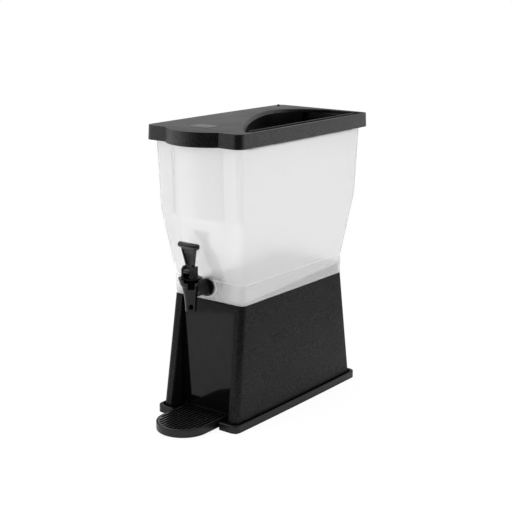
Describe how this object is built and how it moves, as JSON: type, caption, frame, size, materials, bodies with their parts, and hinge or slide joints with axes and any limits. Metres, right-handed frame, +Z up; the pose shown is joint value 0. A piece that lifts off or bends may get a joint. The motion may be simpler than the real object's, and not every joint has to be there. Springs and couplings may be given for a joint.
{
  "type": "drink dispenser",
  "caption": "Slim countertop drink dispenser: black stand with cup bay and drip tray, milky lift-off tank, lid with a leaf-shaped well, and a sprung lever tap.",
  "frame": {"origin": "middle of the foot frame's footprint, on the floor", "axes": "+Z up, the tap faces -Y, +X to the right seen from the tap side"},
  "size_m": [0.206, 0.4526, 0.5102],
  "materials": {
    "stand": "fine grained moulded black plastic",
    "foot_frame": "satin black moulded plastic",
    "bay_panel": "smooth glossy black plastic",
    "pads": "soft black rubber",
    "drip_tray": "satin black moulded plastic",
    "drip_grid": "satin black moulded plastic",
    "tank": "milky translucent plastic, slightly glossy",
    "lid": "fine grained moulded black plastic",
    "tap_body": "smooth black moulded plastic",
    "bonnet": "smooth black moulded plastic",
    "lever": "smooth black moulded plastic",
    "pins": "plain steel",
    "stem": "smooth dark plastic",
    "seat_cup": "soft pale silicone",
    "spring": "drawn steel wire",
    "outer_washer": "soft black rubber",
    "inner_washer": "soft pale silicone",
    "lock_nut": "moulded black plastic"
  },
  "bodies": {
    "base": {"stand": "stand", "foot_frame": "foot_frame", "bay_panel": "bay_panel", "pad_fl": "pads", "pad_fr": "pads", "pad_bl": "pads", "pad_br": "pads"},
    "tray": {"drip_tray": "drip_tray"},
    "grid": {"drip_grid": "drip_grid"},
    "tank": {"tank": "tank", "tap_body": "tap_body", "bonnet": "bonnet", "lever_pin": "pins", "outer_washer": "outer_washer", "inner_washer": "inner_washer", "lock_nut": "lock_nut", "spring": "spring"},
    "lid": {"lid": "lid"},
    "lever": {"lever": "lever"},
    "valve": {"stem": "stem", "stem_pin": "pins", "seat_cup": "seat_cup"}
  },
  "joints": [
    {"name": "tray_pull", "type": "slide", "parent": "base", "child": "tray", "axis": [0, -1, 0], "range_m": [0, 0.17]},
    {"name": "grid_lift", "type": "slide", "parent": "tray", "child": "grid", "axis": [0, 0, 1], "range_m": [0, 0.06]},
    {"name": "tank_lift", "type": "slide", "parent": "base", "child": "tank", "axis": [0, 0, 1], "range_m": [0, 0.08]},
    {"name": "lid_lift", "type": "slide", "parent": "tank", "child": "lid", "axis": [0, 0, 1], "range_m": [0, 0.08]},
    {"name": "lever_tilt", "type": "hinge", "parent": "tank", "child": "lever", "pos_m": [0, -0.1996, 0.273], "axis": [1, 0, 0], "range_deg": [0, 35], "stiffness_Nm_per_rad": 0.25, "springref_deg": -17.19},
    {"name": "valve_lift", "type": "slide", "parent": "tank", "child": "valve", "axis": [0, 0, 1], "range_m": [0, 0.00397], "deforming": ["spring"]}
  ],
  "couplings": [
    {"joint": "lever_tilt", "follows": "valve_lift", "rad_per_m": 153.84}
  ]
}
